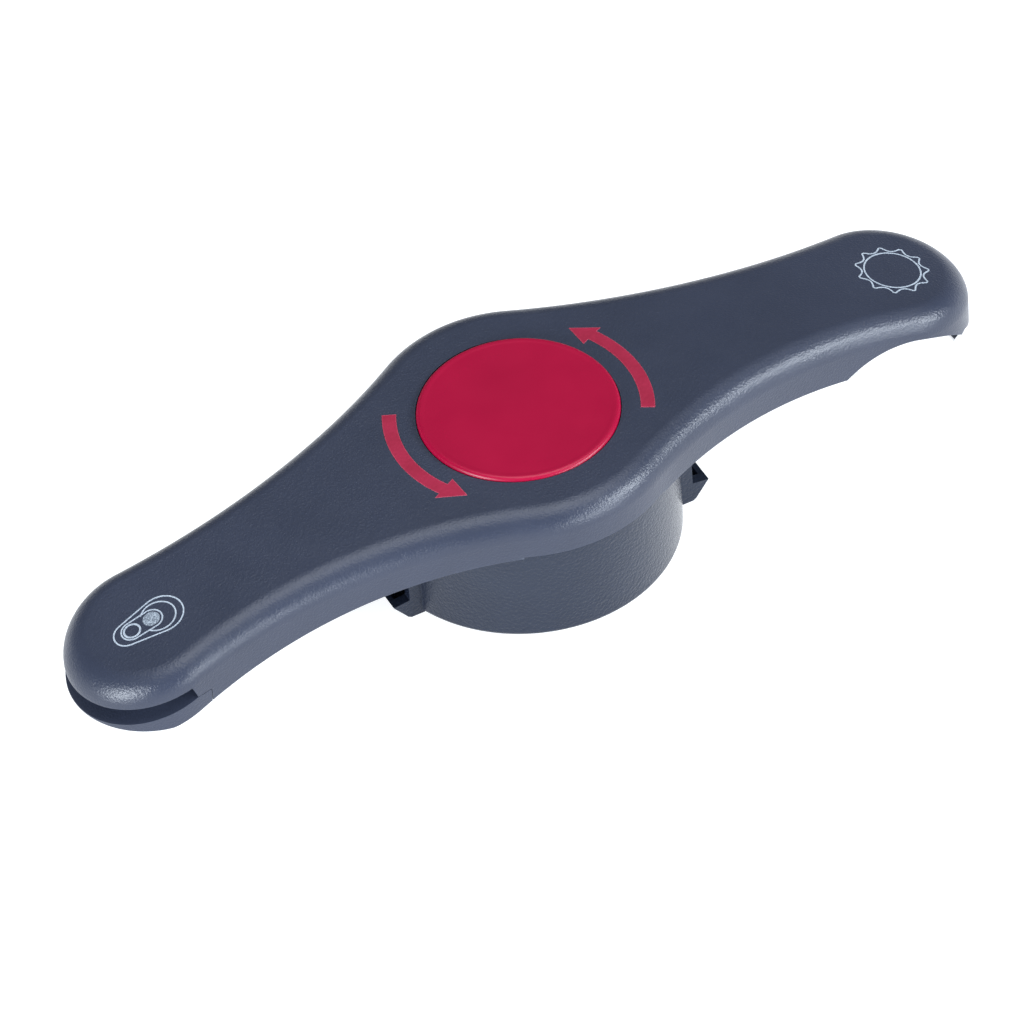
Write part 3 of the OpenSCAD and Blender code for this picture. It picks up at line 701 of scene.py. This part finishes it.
def ink_z(x):
    """Height of the upper face of the printed lines."""
    return top_z(x) + 0.03 * MM


def ribbon(verts, faces, path, width, closed):
    """Adds a thin raised line that follows the arched top."""
    n = len(path)
    base = len(verts)
    for i, (x, y) in enumerate(path):
        before = path[i - 1] if i or closed else path[0]
        after = path[(i + 1) % n] if i < n - 1 or closed else path[-1]
        along = Vector((after[0] - before[0], after[1] - before[1])).normalized()
        for side in (-width / 2, width / 2):
            px, py = x - along.y * side, y + along.x * side
            verts += [(px, py, ink_z(px) - INK_DEPTH), (px, py, ink_z(px))]
    for i in range(n if closed else n - 1):
        a, b = base + 4 * i, base + 4 * ((i + 1) % n)
        for p, q in ((1, 3), (0, 1), (3, 2), (2, 0)):
            faces.append((a + p, b + p, b + q, a + q))
    if not closed:
        end = base + 4 * (n - 1)
        faces += [(base, base + 2, base + 3, base + 1), (end + 1, end + 3, end + 2, end)]


def dot(verts, faces, centre, radius, count=32):
    """Adds a thin raised disc."""
    base = len(verts)
    rim = arc(centre[0], centre[1], radius, 0, 360, count)[:-1]
    verts += [(x, y, ink_z(x) - INK_DEPTH) for x, y in rim] + [(x, y, ink_z(x)) for x, y in rim]
    top = base + count
    faces += [(base + i, base + (i + 1) % count, top + (i + 1) % count, top + i) for i in range(count)]
    faces += [tuple(top + i for i in range(count)), tuple(base + i for i in range(count - 1, -1, -1))]


def round_two(a, ra, b, rb):
    """Outline like a belt round two circles."""
    across = Vector((b[0] - a[0], b[1] - a[1]))
    toward = math.degrees(math.atan2(across.y, across.x))
    spread_angle = math.degrees(math.acos((ra - rb) / across.length))
    path = arc(a[0], a[1], ra, toward + spread_angle, toward + 360 - spread_angle, 40)
    return path + arc(b[0], b[1], rb, toward - spread_angle, toward + spread_angle, 30)


def crown_mark():
    """A crown cap from above: a ring with a toothed line round it."""
    centre, line = (87.1 * MM, -0.6 * MM), 0.33 * MM
    teeth, steps, first_tooth = 11, 16, 0.2
    ring_r, valley, tip = 5.65 * MM, 6.2 * MM, 7.35 * MM
    path = []
    for i in range(teeth * steps):
        part = (i % steps) / steps
        reach = valley + (tip - valley) * min(1, 1.35 * abs(2 * part - 1) ** 2.2)
        turn = 2 * math.pi * i / (teeth * steps) + first_tooth
        path.append((centre[0] + reach * math.cos(turn), centre[1] + reach * math.sin(turn)))
    verts, faces = [], []
    ribbon(verts, faces, path, line, True)
    ribbon(verts, faces, arc(*centre, ring_r, 0, 360, 96)[:-1], line, True)
    finish_piece(from_faces("crown_mark", verts, faces), INK, "handle", None)


def ring_pull_mark():
    """A can's ring pull: a belt round the opening and the tab, the tab, its ring and its rivet."""
    big, small = (-82.45 * MM, -0.95 * MM), (-89.8 * MM, -0.5 * MM)
    rivet, ring = (-84.5 * MM, -0.56 * MM), (-88.8 * MM, -0.42 * MM)
    mouth, line, thick_line = (-83.15 * MM, -0.9 * MM), 0.3 * MM, 0.4 * MM
    verts, faces = [], []
    ribbon(verts, faces, round_two(big, 4.4 * MM, small, 2.8 * MM), line, True)
    ribbon(verts, faces, round_two(rivet, 2.2 * MM, ring, 2.15 * MM), line, True)
    ribbon(verts, faces, arc(*mouth, 3.5 * MM, -148, 140, 60), line, False)
    ribbon(verts, faces, arc(*ring, 1.6 * MM, 0, 360, 48)[:-1], thick_line, True)
    finish_piece(from_faces("ring_pull_mark", verts, faces), INK, "handle", None)
    verts, faces = [], []
    dot(verts, faces, rivet, 1.7 * MM)
    finish_piece(from_faces("ring_pull_dot", verts, faces), THIN_INK, "handle", None)


build_handle_shell()
build_left_cover()
build_cup()
build_cap()
build_arrows()
crown_mark()
ring_pull_mark()


# ---------------------------------------------------------------- carried-over nodes
def paint(material, *names):
    for name in names:
        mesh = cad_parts[name].data
        mesh.materials.clear()
        mesh.materials.append(material)


paint(HANDLE, "right_arm_cover")
paint(INNER, "mouth_ring", "jaw_carrier", "thrust_washer", "jaw_1", "jaw_2", "jaw_3")
paint(RUBBER, "centre_pad", "jaw_pad_1", "jaw_pad_2", "jaw_pad_3")
paint(STEEL, "crown_plate", "cam_plate")
paint(ZINC, "cover_screws", "crown_plate_rivets", "hub_screws", "pivot_bolt", "pivot_washer", "pivot_nut")
paint(ZINC, "return_spring", "jaw_peg_1", "jaw_peg_2", "jaw_peg_3")


# ---------------------------------------------------------------- stage, lights and camera
def floor_material():
    """Pale and matt, with a glow that brings it up to the white of the background."""
    material, nodes, links, shader = new_material("floor")
    coords = object_coords(nodes)
    clouds = noise(nodes, links, coords, 3, 2.0)
    base = ramp(nodes, links, clouds, 0.3, 0.7, (0.44, 0.44, 0.44), (0.46, 0.46, 0.46))
    links.new(base, shader.inputs["Base Color"])
    shader.inputs["Roughness"].default_value = 0.9
    shader.inputs["Emission Color"].default_value = (0.97, 0.985, 1.0, 1)
    shader.inputs["Emission Strength"].default_value = 0.85
    return material


def build_stage():
    bpy.ops.mesh.primitive_plane_add(size=12, location=(0, 0, -0.1 * MM))
    floor = bpy.context.object
    floor.name = "floor"
    floor.data.materials.append(floor_material())


def area_light(name, place, size, power, colour):
    """A softbox that faces the middle of the object."""
    light = bpy.data.lights.new(name, "AREA")
    light.shape = "RECTANGLE"
    light.size, light.size_y = size
    light.energy = power
    light.color = colour
    obj = bpy.data.objects.new(name, light)
    obj.location = place
    obj.rotation_euler = (LIGHT_AIM - Vector(place)).to_track_quat("-Z", "Y").to_euler()
    bpy.context.scene.collection.objects.link(obj)


def build_lights():
    """An even cool sky, a large softbox overhead and three small ones for the long highlights."""
    world = bpy.data.worlds.new("studio")
    bpy.context.scene.world = world
    world.use_nodes = True
    background = world.node_tree.nodes["Background"]
    background.inputs["Color"].default_value = (0.93, 0.96, 1.0, 1)
    background.inputs["Strength"].default_value = 0.22
    cool = (0.86, 0.93, 1.0)
    area_light("overhead", (0.2, -0.1, 1.8), (1.4, 1.4), 28, (0.93, 0.965, 1.0))
    area_light("front_right", (0.70, -0.70, 0.50), (0.45, 0.3), 16, cool)
    area_light("low_front", (0.30, -1.0, 0.16), (0.5, 0.22), 8, cool)
    area_light("low_left", (-0.95, -0.30, 0.20), (0.4, 0.28), 17, cool)


def build_camera():
    """Looks from CAMERA_AZIMUTH and CAMERA_ELEVATION, rolled about its own line of sight."""
    a = math.radians(CAMERA_AZIMUTH)
    e = math.radians(CAMERA_ELEVATION)
    r = math.radians(CAMERA_ROLL)
    back = Vector((math.sin(a) * math.cos(e), -math.cos(a) * math.cos(e), math.sin(e)))
    right = Vector((math.cos(a), math.sin(a), 0))
    up = back.cross(right)
    turned_right = math.cos(r) * right - math.sin(r) * up
    turned_up = math.sin(r) * right + math.cos(r) * up
    camera = bpy.data.objects.new("camera", bpy.data.cameras.new("camera"))
    camera.data.lens = CAMERA_LENS
    camera.data.sensor_width = 36
    camera.data.clip_end = 20
    facing = Matrix((turned_right, turned_up, back)).transposed().to_4x4()
    camera.matrix_world = Matrix.Translation(CAMERA_AIM + back * CAMERA_DISTANCE) @ facing
    bpy.context.scene.collection.objects.link(camera)
    bpy.context.scene.camera = camera


bpy.context.scene.view_settings.view_transform = "Standard"
build_stage()
build_lights()
build_camera()
